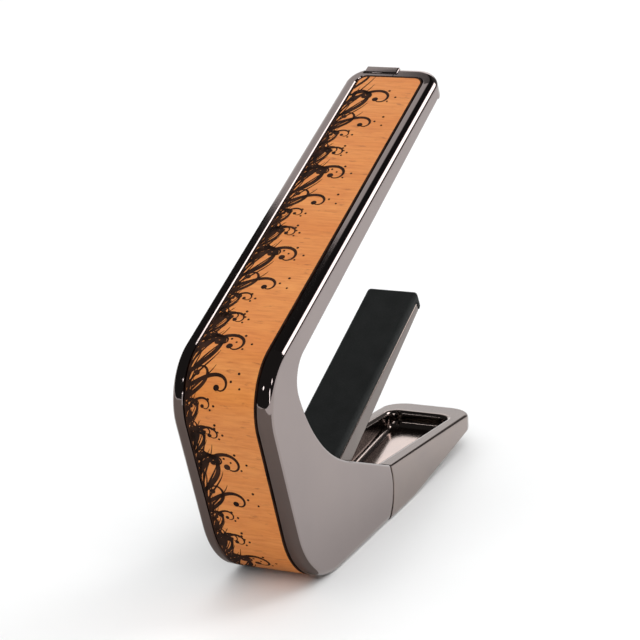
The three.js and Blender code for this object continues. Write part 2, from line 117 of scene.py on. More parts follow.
# wood strip
STRIP_HALF, STRIP_THICKNESS, STRIP_START, STRIP_FOOT = 5.45, 1.2, 2.6, -17.2
STRIP_GAP, BED_DEPTH = 0.15, 1.4
BED_STEEP, BED_LOW = (0.36, 0.84), (0.12, 2.5)  # the bed's bevels: depth, and run to each mm of rise
LINE_BASE, LINE_TOP, DOT_TOP = -0.25, 0.02, 0.03  # what is burnt in stands just out of the wood
TAB_START, TAB_END, TAB_RIGHT, TAB_LEFT = 0.1, 1.9, -5.2, 0.5

# neck arm
NECK_TIP, NECK_ANGLE = (-51.8, 30.2), 24.9 * DEGREE
NECK_HALF, NECK_INNER = 4.35, 3.3

# lever
LEVER_LIFT, LEVER_BEND, LEVER_TIP, LEVER_RISE, LEVER_RIM = 0.15, -39.7, -66.3, 6 * DEGREE, 5.2
FLOOR_RISE = 4.9 * DEGREE
TRAY_WALL, TRAY_FLOOR, TRAY_END, TRAY_CORNER, TRAY_INSIDE = 2.5, 1.2, 5.4, 4.2, 2

BRIGHTEST = 5  # the sky's strength; what ramp() is given may reach this value

scene = bpy.context.scene


# ---- outlines ----

def flat(x, z):
    return Vector((x, z))


def polar(centre, radius, angle):
    return flat(centre[0] + radius * math.cos(angle), centre[1] + radius * math.sin(angle))


def arc(centre, radius, start, end, step=ARC_STEP):
    steps = max(2, math.ceil(abs(end - start) / step))
    return [polar(centre, radius, start + (end - start) * i / steps) for i in range(steps + 1)]


def blunt_arc(centre, radius, start, end, margin=15 * DEGREE):
    """An arc with one long first and last step, which leave room for rounded edges that end there."""
    margin = math.copysign(margin, end - start)
    middle = arc(centre, radius, start + margin, end - margin)
    return [polar(centre, radius, start), *middle, polar(centre, radius, end)]


def rounded(corners):
    """The closed outline through (point, radius) corners, with an arc where there is a radius."""
    points = []
    for i, (point, radius) in enumerate(corners):
        point = flat(*point)
        if not radius:
            points.append(point)
            continue
        back = (flat(*corners[i - 1][0]) - point).normalized()
        ahead = (flat(*corners[(i + 1) % len(corners)][0]) - point).normalized()
        half = back.angle(ahead) / 2
        centre = point + (back + ahead).normalized() * radius / math.sin(half)
        reach = radius / math.tan(half)
        start, end = point + back * reach - centre, point + ahead * reach - centre
        turn = math.remainder(math.atan2(end.y, end.x) - math.atan2(start.y, start.x), 2 * math.pi)
        first = math.atan2(start.y, start.x)
        points += arc(centre, radius, first, first + turn)
    return points


def grown(points, distance):
    """The outline moved outwards, or inwards with a negative distance. It runs counterclockwise."""
    moved = []
    for i, point in enumerate(points):
        before = (point - points[i - 1]).normalized()
        after = (points[(i + 1) % len(points)] - point).normalized()
        first, second = flat(before.y, -before.x), flat(after.y, -after.x)
        moved.append(point + (first + second) * distance / (1 + first.dot(second)))
    return moved


HEEL = flat(0, 0)
SHOULDER = polar(HEEL, RISER_LENGTH, RISER_ANGLE)
ARM_OUT = flat(-math.cos(ARM_ANGLE), math.sin(ARM_ANGLE))
ARM_IN = flat(-math.sin(ARM_ANGLE), -math.cos(ARM_ANGLE))
NECK_ALONG = flat(math.cos(NECK_ANGLE), -math.sin(NECK_ANGLE))
NECK_DOWN = flat(-math.sin(NECK_ANGLE), -math.cos(NECK_ANGLE))
LINK = (flat(*LEVER_PIVOT) + flat(*NECK_PIVOT)) / 2


def on_arm(along, depth):
    return SHOULDER + ARM_OUT * along + ARM_IN * depth


def on_neck(along, depth):
    return flat(*NECK_TIP) + NECK_ALONG * along + NECK_DOWN * depth


ARM_FACE = on_arm(ARM_LENGTH, TIP_DEPTH)
PAD_ALONG = (flat(*JAW_TOP) - ARM_FACE).normalized()
PAD_INTO = flat(PAD_ALONG.y, -PAD_ALONG.x)


def on_pad(along, height):
    return ARM_FACE + PAD_ALONG * along + PAD_INTO * height


class Track:
    """The outer face's line from the arm's tip round the shoulder and the heel to the foot."""

    def __init__(self):
        corners = [(on_arm(ARM_LENGTH, 0), 0), (SHOULDER, SHOULDER_RADIUS),
                   (HEEL, HEEL_RADIUS), (flat(4 * LEVER_TIP, 0), 0)]
        self.parts = []
        point, run = corners[0][0], 0
        for i in (1, 2, 3):
            corner, radius = corners[i]
            heading = (corner - point).normalized()
            angle = math.atan2(heading.y, heading.x)
            turn = 0
            if radius:
                beyond = (corners[i + 1][0] - corner).normalized()
                turn = heading.angle(beyond)
            reach = radius * math.tan(turn / 2)
            length = (corner - point).length - reach
            self.parts.append((run, run + length, point, angle, 0))
            run += length
            point = point + heading * length
            if radius:
                self.parts.append((run, run + radius * turn, point, angle, radius))
                run += radius * turn
                point = corner + beyond * reach

    def at(self, s, height):
        start, _, point, angle, radius = next(
            (part for part in reversed(self.parts) if s >= part[0]), self.parts[0])
        if not radius:
            inward = flat(math.sin(angle), -math.cos(angle))
            return point + flat(math.cos(angle), math.sin(angle)) * (s - start) - inward * height
        centre = point + flat(math.sin(angle), -math.cos(angle)) * radius
        angle -= (s - start) / radius
        return centre - flat(math.sin(angle), -math.cos(angle)) * (radius + height)

    def stations(self):
        """Where a flat strip needs a cut, so that it can follow the round corners."""
        for start, end, _, _, radius in self.parts:
            if radius:
                steps = math.ceil((end - start) / radius / ARC_STEP)
                yield from (start + (end - start) * (i + 0.5) / steps for i in range(steps))


TRACK = Track()
STRIP_END = TRACK.parts[-1][0] + TRACK.parts[-1][2].x - STRIP_FOOT


# ---- solids ----

def edited(mesh, change):
    """The mesh after change() has worked on it as a bmesh."""
    bm = bmesh.new()
    bm.from_mesh(mesh)
    change(bm)
    bm.to_mesh(mesh)
    bm.free()
    return mesh


def face_outwards(bm):
    bmesh.ops.recalc_face_normals(bm, faces=bm.faces)


def mesh_of(vertices, faces):
    mesh = bpy.data.meshes.new("solid")
    mesh.from_pydata([tuple(v) for v in vertices], [], faces)
    return edited(mesh, face_outwards)


def loft(rings):
    """A closed solid through rings that have the same number of points."""
    count = len(rings[0])
    vertices = [point for ring in rings for point in ring]
    faces = [tuple(range(count)), tuple(range(len(vertices) - count, len(vertices)))]
    for k in range(len(rings) - 1):
        low, high = k * count, (k + 1) * count
        faces += [(low + i, low + (i + 1) % count, high + (i + 1) % count, high + i) for i in range(count)]
    return mesh_of(vertices, faces)


def across(points, low, high):
    """A side outline made solid from low to high along y."""
    return loft([[(p[0], y, p[1]) for p in points] for y in (low, high)])


def upright(points, low, high):
    """A plan outline made solid from low to high along z."""
    return loft([[(p[0], p[1], z) for p in points] for z in (low, high)])


def bar(centre, radius, low, high, sides=48):
    return across([polar(centre, radius, 2 * math.pi * i / sides) for i in range(sides)], low, high)


def together(*meshes):
    bm = bmesh.new()
    for mesh in meshes:
        bm.from_mesh(mesh)
    joined = bpy.data.meshes.new("solid")
    bm.to_mesh(joined)
    bm.free()
    return joined


def with_modifier(mesh, kind, **settings):
    """The mesh after one modifier."""
    carrier = bpy.data.objects.new("carrier", mesh)
    scene.collection.objects.link(carrier)
    modifier = carrier.modifiers.new("step", kind)
    for name, value in settings.items():
        setattr(modifier, name, value)
    bpy.context.view_layer.update()
    made = bpy.data.meshes.new_from_object(carrier.evaluated_get(bpy.context.evaluated_depsgraph_get()))
    bpy.data.objects.remove(carrier)
    return made


def combine(mesh, other, operation="DIFFERENCE"):
    """Cuts one solid with another, or joins them, and clears the slivers that this leaves."""
    tool = bpy.data.objects.new("tool", other)
    scene.collection.objects.link(tool)
    made = with_modifier(mesh, "BOOLEAN", object=tool, operation=operation, solver="MANIFOLD")
    bpy.data.objects.remove(tool)

    def clean(bm):
        bmesh.ops.remove_doubles(bm, verts=bm.verts, dist=SLIVER)
        bmesh.ops.dissolve_degenerate(bm, edges=bm.edges, dist=SLIVER)
    return edited(made, clean)


def soften(mesh, width_of, segments=4, sharp=SHARP):
    """Rounds each sharp edge by the width that width_of(end, end) gives it."""
    bm = bmesh.new()
    bm.from_mesh(mesh)
    bmesh.ops.remove_doubles(bm, verts=bm.verts, dist=SLIVER / 10)
    bmesh.ops.dissolve_limit(bm, angle_limit=0.2 * DEGREE, verts=bm.verts, edges=bm.edges)
    widths = {}
    for edge in bm.edges:
        if len(edge.link_faces) == 2 and edge.calc_face_angle(0) > sharp:
            widths[edge.index] = width_of(edge.verts[0].co, edge.verts[1].co)
    widest = max(widths.values(), default=0)
    if not widest:
        bm.free()
        return mesh
    layer = bm.edges.layers.float.new("bevel_weight_edge")
    bm.edges.ensure_lookup_table()
    for index, width in widths.items():
        bm.edges[index][layer] = width / widest
    marked = bpy.data.meshes.new("solid")
    bm.to_mesh(marked)
    bm.free()
    return with_modifier(marked, "BEVEL", width=widest, segments=segments, limit_method="WEIGHT",
                         use_clamp_overlap=False, profile=0.5)


def bend(mesh):
    """Folds a flat solid, drawn as (s, y, height), round the body's outer face."""
    def fold(bm):
        for s in TRACK.stations():
            bmesh.ops.bisect_plane(bm, geom=[*bm.verts, *bm.edges, *bm.faces],
                                   plane_co=(s, 0, 0), plane_no=(1, 0, 0))
        uv = bm.loops.layers.uv.verify()
        for face in bm.faces:
            for corner in face.loops:
                corner[uv].uv = (corner.vert.co.x / UV_UNIT, corner.vert.co.y / UV_UNIT)
        for vertex in bm.verts:
            point = TRACK.at(vertex.co.x, vertex.co.z)
            vertex.co = (point.x, vertex.co.y, point.y)
        face_outwards(bm)
    return edited(mesh, fold)


def on_face(mesh, origin, along, out):
    """Puts a solid drawn as (along, y, out) on a straight face of the side plane."""
    mesh.transform(Matrix((
        (along.x, 0, out.x, origin.x), (0, 1, 0, 0), (along.y, 0, out.y, origin.y), (0, 0, 0, 1))))
    return edited(mesh, face_outwards)


def corner_cutter(start, side, radius, low, high):
    """What a rounded corner takes away, drawn in plan at the end `start` of a bar of half width HALF."""
    inner = HALF - radius
    curve = [flat(start + radius - radius * math.cos(a), side * (inner + radius * math.sin(a)))
             for a in np.linspace(0, math.pi / 2, 31)]
    outside = [flat(start + radius, side * (HALF + 1)), flat(start - 1, side * (HALF + 1)),
               flat(start - 1, side * inner)]
    return upright(curve + outside, low, high)


# ---- materials ----

def shader(name, colour, metallic, roughness, **inputs):
    material = bpy.data.materials.new(name)
    material.use_nodes = True
    principled = material.node_tree.nodes["Principled BSDF"]
    principled.inputs["Base Color"].default_value = (*colour, 1)
    principled.inputs["Metallic"].default_value = metallic
    principled.inputs["Roughness"].default_value = roughness
    for key, value in inputs.items():
        principled.inputs[key.replace("_", " ")].default_value = value
    return material, material.node_tree, principled


def node(tree, kind, values=(), **settings):
    """Adds a node; values are (socket, number or another node's socket) pairs."""
    made = tree.nodes.new(kind)
    for name, value in settings.items():
        setattr(made, name, value)
    for socket, value in values:
        if isinstance(value, bpy.types.NodeSocket):
            tree.links.new(value, made.inputs[socket])
        else:
            made.inputs[socket].default_value = value
    return made


def noise(tree, scale, stretch=(1, 1, 1), detail=4, source="Object", roughness=0.55):
    """Noise at a scale in features per millimetre, drawn out along the axes where stretch is small."""
    where = node(tree, "ShaderNodeTexCoord")
    sized = node(tree, "ShaderNodeMapping", [("Vector", where.outputs[source]), ("Scale", stretch)])
    unit = 1 / MM if source == "Object" else UV_UNIT
    return node(tree, "ShaderNodeTexNoise", [
        ("Vector", sized.outputs["Vector"]), ("Scale", scale * unit), ("Detail", detail),
        ("Roughness", roughness)]).outputs["Fac"]


def spread(tree, factor, low, high, start=0.3, end=0.7):
    """Takes a value from start to end over to the range from low to high, and holds it there."""
    return node(tree, "ShaderNodeMapRange", [
        ("Value", factor), ("From Min", start), ("From Max", end), ("To Min", low), ("To Max", high),
    ]).outputs["Result"]


def blended(tree, factor, first, second):
    """Mixes two colours, given as values or sockets."""
    mix = node(tree, "ShaderNodeMix", data_type="RGBA")
    tree.links.new(factor, mix.inputs["Factor"])
    for socket, value in ((mix.inputs[6], first), (mix.inputs[7], second)):
        if isinstance(value, bpy.types.NodeSocket):
            tree.links.new(value, socket)
        else:
            socket.default_value = (*value, 1)
    return mix.outputs[2]


def bump(tree, principled, height, distance, strength=1):
    made = node(tree, "ShaderNodeBump", [
        ("Height", height), ("Distance", distance * MM), ("Strength", strength)])
    tree.links.new(made.outputs["Normal"], principled.inputs["Normal"])


def metal(name, colour, shade, roughness, grain=0.01, cloud=0.12, stretch=(1, 1, 1)):
    """Plated metal: slow clouds in the plating, and a fine grain in its polish."""
    material, tree, principled = shader(name, colour, 1, roughness)
    clouds = noise(tree, cloud, detail=3)
    fine = noise(tree, 6, stretch, detail=6)
    tint = blended(tree, spread(tree, clouds, 0, 1), colour, shade)
    tree.links.new(tint, principled.inputs["Base Color"])
    tree.links.new(spread(tree, fine, roughness * 0.75, roughness * 1.3), principled.inputs["Roughness"])
    bump(tree, principled, fine, grain)
    return material


def wood():
    """Varnished maple with its figure across the strip, fine flecks and a few darker pores."""
    material, tree, principled = shader("honey_wood", (0.80, 0.28, 0.06), 0, 0.38, Coat_Weight=0.15,
                                        Coat_Roughness=0.28)
    figure = noise(tree, 0.16, (1, 0.22, 1), 5, "UV")
    grain = noise(tree, 2.2, (1, 0.1, 1), 6, "UV", 0.65)
    fleck = noise(tree, 1.3, (1, 0.28, 1), 3, "UV", 0.6)
    tone = blended(tree, spread(tree, figure, 0, 1, 0.35, 0.66), (0.64, 0.205, 0.036), (0.71, 0.27, 0.062))
    tone = blended(tree, spread(tree, grain, 0, 0.75, 0.42, 0.72), tone, (0.5, 0.13, 0.02))
    tone = blended(tree, spread(tree, fleck, 0, 0.7, 0.6, 0.72), tone, (0.33, 0.085, 0.015))
    tree.links.new(tone, principled.inputs["Base Color"])
    tree.links.new(spread(tree, grain, 0.33, 0.5), principled.inputs["Roughness"])
    bump(tree, principled, grain, 0.012, 0.6)
    return material


def burnt():
    """Scorched wood: near black, with browner places."""
    material, tree, principled = shader("burnt_line", (0.012, 0.006, 0.004), 0, 0.7, Specular_IOR_Level=0.2)
    scorch = noise(tree, 0.5, (1, 1, 1), 5, "UV")
    tint = blended(tree, spread(tree, scorch, 0, 1), (0.008, 0.004, 0.003), (0.045, 0.016, 0.007))
    tree.links.new(tint, principled.inputs["Base Color"])
    bump(tree, principled, scorch, 0.01)
    return material


def matt(name, colour, roughness, scale, depth):
    """Rubber or plastic with a fine skin and slow patches of dust."""
    material, tree, principled = shader(name, colour, 0, roughness, Specular_IOR_Level=0.3)
    skin = noise(tree, scale, detail=6)
    dust = noise(tree, 0.35, detail=3)
    tint = blended(tree, spread(tree, dust, 0, 1), colour, [1.5 * c for c in colour])
    tree.links.new(tint, principled.inputs["Base Color"])
    tree.links.new(spread(tree, skin, roughness * 0.9, roughness * 1.12), principled.inputs["Roughness"])
    bump(tree, principled, skin, depth)
    return material


GUNMETAL = metal("gunmetal", (0.31, 0.258, 0.246), (0.28, 0.234, 0.226), 0.05, grain=0.001, cloud=0.06)
TAUPE = metal("taupe_plate", (0.28, 0.232, 0.216), (0.315, 0.255, 0.23), 0.13, grain=0.003, cloud=0.14)
NECK_METAL = metal("neck_plate", (0.185, 0.152, 0.138), (0.155, 0.126, 0.114), 0.14,
                   grain=0.002, cloud=0.1)
STEEL = metal("steel", (0.56, 0.56, 0.57), (0.48, 0.48, 0.5), 0.25,
              grain=0.004, cloud=0.5, stretch=(1, 0.1, 1))
WIRE = metal("spring_wire", (0.16, 0.16, 0.17), (0.1, 0.1, 0.11), 0.3, grain=0.004, cloud=0.5)
BRONZE = metal("bronze", (0.58, 0.42, 0.2), (0.45, 0.3, 0.13), 0.35, grain=0.006, cloud=0.6)
WOOD = wood()
BURNT = burnt()
RUBBER = matt("pad_rubber", (0.008, 0.009, 0.009), 0.7, 5, 0.012)
PLASTIC = matt("carrier_plastic", (0.013, 0.013, 0.0135), 0.5, 3, 0.01)
NYLON = matt("nylon", (0.5, 0.47, 0.4), 0.5, 2, 0.01)


# ---- pieces ----

def piece(name, mesh, body, slot, finish, *nodes):
    """Makes a mesh in millimetres a piece that rides on a body and stands for these CAD nodes."""
    mesh.transform(TO_FRAME)
    return finished(name, mesh, body, slot, finish, *nodes)


def finished(name, mesh, body, slot, finish, *nodes):
    """The same for a mesh that is already in the model's frame."""
    mesh.name = name
    mesh.shade_smooth()
    mesh.set_sharp_from_angle(angle=SHARP)
    mesh.materials.clear()
    mesh.materials.append(finish)
    made = bpy.data.objects.new(name, mesh)
    scene.collection.objects.link(made)
    made.modifiers.new("even_normals", "WEIGHTED_NORMAL").keep_sharp = True
    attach(made, body)
    if nodes:
        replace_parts(made, *nodes)
    return made


def depth_below(point):
    """How far a vertex lies from the outer line, in the side plane."""
    best = 1e9
    for a, b in zip(OUTER_LINE, OUTER_LINE[1:]):
        along = b - a
        share = min(1, max(0, (flat(point.x, point.z) - a).dot(along) / along.length_squared))
        best = min(best, (a + along * share - flat(point.x, point.z)).length)
    return best


KNUCKLE_LOW = math.pi + math.asin(LEVER_PIVOT[1] / KNUCKLE_RADIUS)
KNUCKLE = blunt_arc(LEVER_PIVOT, KNUCKLE_RADIUS, KNUCKLE_LOW, KNUCKLE_TOP)
OUTER_LINE = rounded([
    (on_arm(ARM_LENGTH, 0), 0), (SHOULDER, SHOULDER_RADIUS), (HEEL, HEEL_RADIUS), (KNUCKLE[0], 0)])


def body_blank():
    """The body's outside, with its rounded corners and edges, before anything is cut into it."""
    outline = rounded([
        (on_arm(ARM_LENGTH, 0), 0),
        (SHOULDER, SHOULDER_RADIUS),
        (HEEL, HEEL_RADIUS),
        *[(point, 0) for point in KNUCKLE],
        (JAW_FLOOR, JAW_FLOOR_RADIUS),
        (JAW_TOP, JAW_TOP_RADIUS),
        (on_pad(TIP_LIP, 0), 0),
        (on_pad(TIP_LIP, TIP_LIP_DEPTH - TIP_DEPTH), 0),
        (on_arm(ARM_LENGTH, TIP_LIP_DEPTH), 0),
    ])
    corners = together(*[
        on_face(corner_cutter(0, side, TIP_CORNER, -30, 30), on_arm(ARM_LENGTH, 0), -ARM_OUT, -ARM_IN)
        for side in (-1, 1)])
    blank = combine(across(outline, -HALF, HALF), corners)

    def width(a, b):
        far = min((flat(end.x, end.z) - SHOULDER).dot(ARM_OUT) for end in (a, b))
        on_outer_line = max(depth_below(a), depth_below(b)) < 0.02
        runs_across = abs(a.y - b.y) > HALF
        if runs_across and far < ARM_LENGTH - 0.01:
            return 0
        if on_outer_line:
            return OUTER_ROUND
        if far > ARM_LENGTH - TIP_CORNER - TIP_ROUND:
            return TIP_ROUND if far > ARM_LENGTH - 0.8 else 0
        return INNER_ROUND
    return soften(blank, width, 6)


def strip_plan(grow=0):
    """The wood strip seen flat: more rounded at the arm's tip than at the foot."""
    tip_corner, foot_corner = 1.7, 0.7
    return grown(rounded([
        ((STRIP_START, -STRIP_HALF), tip_corner), ((STRIP_END, -STRIP_HALF), foot_corner),
        ((STRIP_END, STRIP_HALF), foot_corner), ((STRIP_START, STRIP_HALF), tip_corner)]), grow)


def bed_ring(height):
    """The bed's outline at a height. Its right edge has a steep bevel and its left edge a low one."""
    right, left = (run * max(0, height + depth) for depth, run in (BED_STEEP, BED_LOW))
    return [(p.x, p.y - right if p.y < 0 else p.y + left, height) for p in strip_plan(STRIP_GAP)]


def flat_rings(plan_of, levels):
    """A solid through plan_of(grow) at each (height, grow)."""
    return loft([[(p[0], p[1], height) for p in plan_of(grow)] for height, grow in levels])


def mechanism_space():
    """The room inside the body for the lever's tongue and ears, the neck arm's root and the spring."""
    clear, mouth, tongue_end, ears_end, floor_end = 0.45, -34, -24.4, -18.5, -13
    below, ears_floor, above = -1, 2, 14
    outline = [
        flat(mouth, below), flat(tongue_end, below), flat(tongue_end, ears_floor),
        flat(ears_end, ears_floor), flat(ears_end, CAVITY_FLOOR), flat(floor_end, CAVITY_FLOOR),
        flat(*NECK_PIVOT), on_neck(42, -clear), on_neck(28, -clear), flat(mouth, above)]
    room = across(outline, -CAVITY_HALF, CAVITY_HALF)
    return combine(room, bar(NECK_PIVOT, HUB_RADIUS + clear, -CAVITY_HALF, CAVITY_HALF, 72), "UNION")


def make_body():
    above = 0.36
    bed = bend(loft([bed_ring(height) for height in (above, -BED_LOW[0], -BED_STEEP[0], -BED_DEPTH)]))
    solid = combine(body_blank(), bed)
    gap = 0.12
    end, right, left = TAB_END + gap, TAB_RIGHT - gap, TAB_LEFT + gap
    seat = bend(upright([flat(-3, right), flat(end, right), flat(end, left), flat(-3, left)],
                        -TIP_LIP_DEPTH - 1, 3))
    solid = combine(solid, seat)
    solid = combine(solid, mechanism_space())
    holes = [bar(centre, PIN_RADIUS + FIT, -PIN_HALF, PIN_HALF) for centre in (LEVER_PIVOT, NECK_PIVOT)]
    solid = combine(solid, together(*holes))
    room = [flat(-100, -10), flat(30, -10), flat(30, 90), flat(-100, 90)]
    for name, low, high in (("left", SEAM / 2, HALF + 1), ("right", -HALF - 1, -SEAM / 2)):
        half = combine(solid, across(room, low, high), "INTERSECT")
        piece(f"body_shell_{name}", half, "body", "gunmetal_shell", GUNMETAL, f"body_half_{name}")


def make_strip():
    edge = 0.16  # the radius of its upper edge
    levels = [(-edge + edge * math.cos(a), -edge + edge * math.sin(a))
              for a in np.linspace(0, math.pi / 2, 5)]
    strip = bend(flat_rings(strip_plan, [*levels, (-STRIP_THICKNESS, 0)]))
    piece("wood_strip", strip, "body", "honey_wood", WOOD, "wood_inlay")


def ribbon(left, right, low=LINE_BASE, high=LINE_TOP, closed=False):
    """A thin raised line between two flat curves."""
    stations = list(zip(left, right))
    vertices = [(p[0], p[1], h) for a, b in stations for p, h in ((a, low), (b, low), (b, high), (a, high))]
    count = len(stations)
    faces = [] if closed else [(0, 1, 2, 3), tuple(4 * count - 4 + k for k in range(4))]
    for i in range(count if closed else count - 1):
        near, far = 4 * i, 4 * ((i + 1) % count)
        faces += [(near + k, near + (k + 1) % 4, far + (k + 1) % 4, far + k) for k in range(4)]
    return mesh_of(vertices, faces)


def inside(mesh, grow):
    """What lies on the strip, cut off where it would hang over the strip's outline grown by grow."""
    low = flat(STRIP_START - grow, -STRIP_HALF - grow)
    high = flat(STRIP_END + grow, STRIP_HALF + grow)

    def trim(bm):
        for axis, limit, way in ((0, low.x, -1), (0, high.x, 1), (1, low.y, -1), (1, high.y, 1)):
            place, normal = Vector(), Vector()
            place[axis], normal[axis] = limit, way
            cut = bmesh.ops.bisect_plane(bm, geom=[*bm.verts, *bm.edges, *bm.faces], plane_co=place,
                                         plane_no=normal, clear_outer=True)
            rim = [item for item in cut["geom_cut"] if isinstance(item, bmesh.types.BMEdge)]
            bmesh.ops.holes_fill(bm, edges=rim)
    return edited(mesh, trim)


def dot(s, y, radius):
    return upright([flat(s + radius * math.cos(a), y + radius * math.sin(a))
                    for a in np.linspace(0, 2 * math.pi, 14, endpoint=False)], LINE_BASE, DOT_TOP)


def vine(s, y, heading, length, turn, curl, thick, bulb, step=0.22):
    """A tapering stroke that leaves (s, y) and curls more and more tightly.

    heading is in degrees from the way to the arm's tip; turn and curl are degrees per millimetre at
    the start and at the end; bulb is the radius of the dot where it ends, or 0 for none.
    """
    count = max(4, round(length / step))
    left, right, angle = [], [], heading * DEGREE
    for i in range(count + 1):
        share = i / count
        swell = math.sin(math.pi * min(1, 0.18 + 0.82 * share)) ** 0.7 * 0.75 + 0.25
        half = thick * swell * (1 - 0.45 * share) / 2
        side = flat(math.sin(angle), math.cos(angle)) * half
        left.append(flat(s, y) + side)
        right.append(flat(s, y) - side)
        angle += (turn + (curl - turn) * share ** 2) * DEGREE * length / count
        s -= math.cos(angle) * length / count
        y += math.sin(angle) * length / count
    return [ribbon(left, right)] + ([dot(s, y, bulb)] if bulb else [])


# the curls of one tuft: way back from its root, heading, length, turn, curl, thickness, bulb
CURLS = ((-0.6, 30, 10.5, 3, 78, 0.72, 0.44), (2.2, 46, 10.6, -1, -84, 0.76, 0.46),
         (4.0, 62, 8.2, -3, 100, 0.66, 0.4), (-2.8, 52, 5.2, 6, 142, 0.58, 0.36),
         (-4.4, 20, 5.6, 8, -128, 0.52, 0.34), (5.6, 44, 7.0, 4, -112, 0.58, 0.36))
# its loose dots: way to the arm's tip, way in from the edge
DOTS = (4.2, 5.6), (2.8, 7.0), (1.8, 6.1), (-1.8, 6.9), (-2.9, 6.0), (-3.7, 7.3)


def spray(root, size):
    """One tuft of the scroll: a fan of fronds that lean to the arm's tip, its curls and its dots."""
    edge = -STRIP_HALF + 0.12
    parts = []
    for k in range(5):
        parts += vine(root + 1.3 * k * size, edge, 10 + 7 * k, (8.0 - 0.6 * k) * size, 3, -6 - 2 * k,
                      0.3 * size, 0)
    for back, heading, length, turn, curl, thick, bulb in CURLS:
        parts += vine(root + back * size, edge, heading, length * size, turn, curl / size,
                      thick * size, bulb * size)
    for k, (ahead, up) in enumerate(DOTS):
        parts.append(dot(root - ahead * size, edge + up * size, 0.2 - 0.02 * (k % 3)))
    return parts


def make_scroll():
    """A running scroll burnt into the wood along its far side, and a fine line round the edge."""
    period, tufts = 19.4, ((0, 1.12), (8.6, 0.62), (13.4, 0.74))
    parts = []
    root = STRIP_START + 8.5
    while root < STRIP_END + 4:
        for offset, size in tufts:
            parts += spray(root + offset, size)
        for k in range(9):
            parts += vine(root + 2.15 * k, -STRIP_HALF + 0.15, 6, 5.4, 4, -12, 0.34, 0)
        root += period
    lines = ribbon(strip_plan(0.02), strip_plan(-0.2), -0.4, 0.012, closed=True)
    piece("burnt_scroll", bend(inside(together(*parts), -0.1)), "body", "honey_wood", BURNT)
    piece("burnt_edge", bend(lines), "body", "honey_wood", BURNT)


def make_latch():
    tab = upright([flat(TAB_START, TAB_RIGHT), flat(TAB_END, TAB_RIGHT), flat(TAB_END, TAB_LEFT),
                   flat(TAB_START, TAB_LEFT)], -3.8, 0.16)
    piece("release_tab", bend(soften(tab, lambda a, b: 0.3, 5)), "body", "gunmetal_shell", GUNMETAL,
          "pad_latch")


def make_fret_pad():
    """A rubber bar with a crowned face, under the arm."""
    half, start, end, base, edge, crown = 6.5, 1.65, 62, 1.2, 0.6, 1.3
    ys = np.linspace(half, -half, 41)
    section = [(-half, base), (half, base)] + [(y, base + edge + crown * (1 - (y / half) ** 2)) for y in ys]
    rubber = loft([[(x, y, h) for y, h in section] for x in (start, end)])
    rubber = soften(rubber, lambda a, b: 0.3, 3, 25 * DEGREE)
    pad = piece("fret_pad_rubber", on_face(rubber, ARM_FACE, PAD_ALONG, PAD_INTO), "body", "pad_rubber",
                RUBBER, "fret_pad")


# ---- neck arm ----

def make_neck_arm():
    """A channel, open below, that deepens to its root, with the rubber that covers its top and tip.

    top and cap are the rubber's thickness on the face and at the tip, web is the metal's, and the
    channel is `tip` deep at the tip and `root` deep at root_at along it.
    """
    top, cap, web, tip, root, root_at = 1.5, 1.3, 1, 3, 5.2, 38
    lobe = 2.2
    blade = across([
        on_neck(cap, top), on_neck(root_at + 6, top), flat(*NECK_PIVOT), LINK,
        on_neck(root_at, root), on_neck(cap, tip)], -NECK_HALF, NECK_HALF)
    solid = combine(blade, bar(NECK_PIVOT, HUB_RADIUS, -NECK_HALF, NECK_HALF, 72), "UNION")
    solid = combine(solid, bar(LINK, lobe, -NECK_HALF, NECK_HALF, 60), "UNION")
    solid = soften(solid, lambda a, b: 0.3 if abs(a.y - b.y) < 1e-3 else 0, 3)
    channel = across([on_neck(cap + 1.2, top + web), on_neck(root_at + 12, top + web),
                      on_neck(root_at + 12, 16), on_neck(cap + 1.2, 16)], -NECK_INNER, NECK_INNER)
    solid = combine(solid, soften(channel, lambda a, b: 0.5, 4))
    solid = combine(solid, bar(NECK_PIVOT, HUB_RADIUS + 1, -NECK_INNER, NECK_INNER, 72))
    solid = combine(solid, bar(LINK, PIN_RADIUS + FIT, -6, 6))
    solid = combine(solid, bar(NECK_PIVOT, BUSH_RADIUS + FIT, -6, 6))
    piece("neck_arm_channel", solid, "neck_arm", "neck_arm_metal", NECK_METAL, "neck_arm")

    length = (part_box("neck_pad")[1].x / MM - HEEL_X - NECK_TIP[0]) / NECK_ALONG.x
    profile = [on_neck(0, 0), on_neck(length, 0), on_neck(length, top - FIT), on_neck(cap - FIT, top - FIT),
               on_neck(cap - FIT, tip), on_neck(0, tip)]
    rubber = across(profile, -NECK_HALF, NECK_HALF)

    def width(a, b):
        middle = flat(a.x + b.x, a.z + b.z) / 2 - flat(*NECK_TIP)
        on_top = middle.dot(NECK_DOWN) < 0.05
        at_tip = middle.dot(NECK_ALONG) < 0.05
        return 0.65 if on_top or at_tip else 0.12
    pad = piece("neck_pad_rubber", soften(rubber, width, 4), "neck_arm", "pad_rubber", RUBBER, "neck_pad")


# ---- lever ----

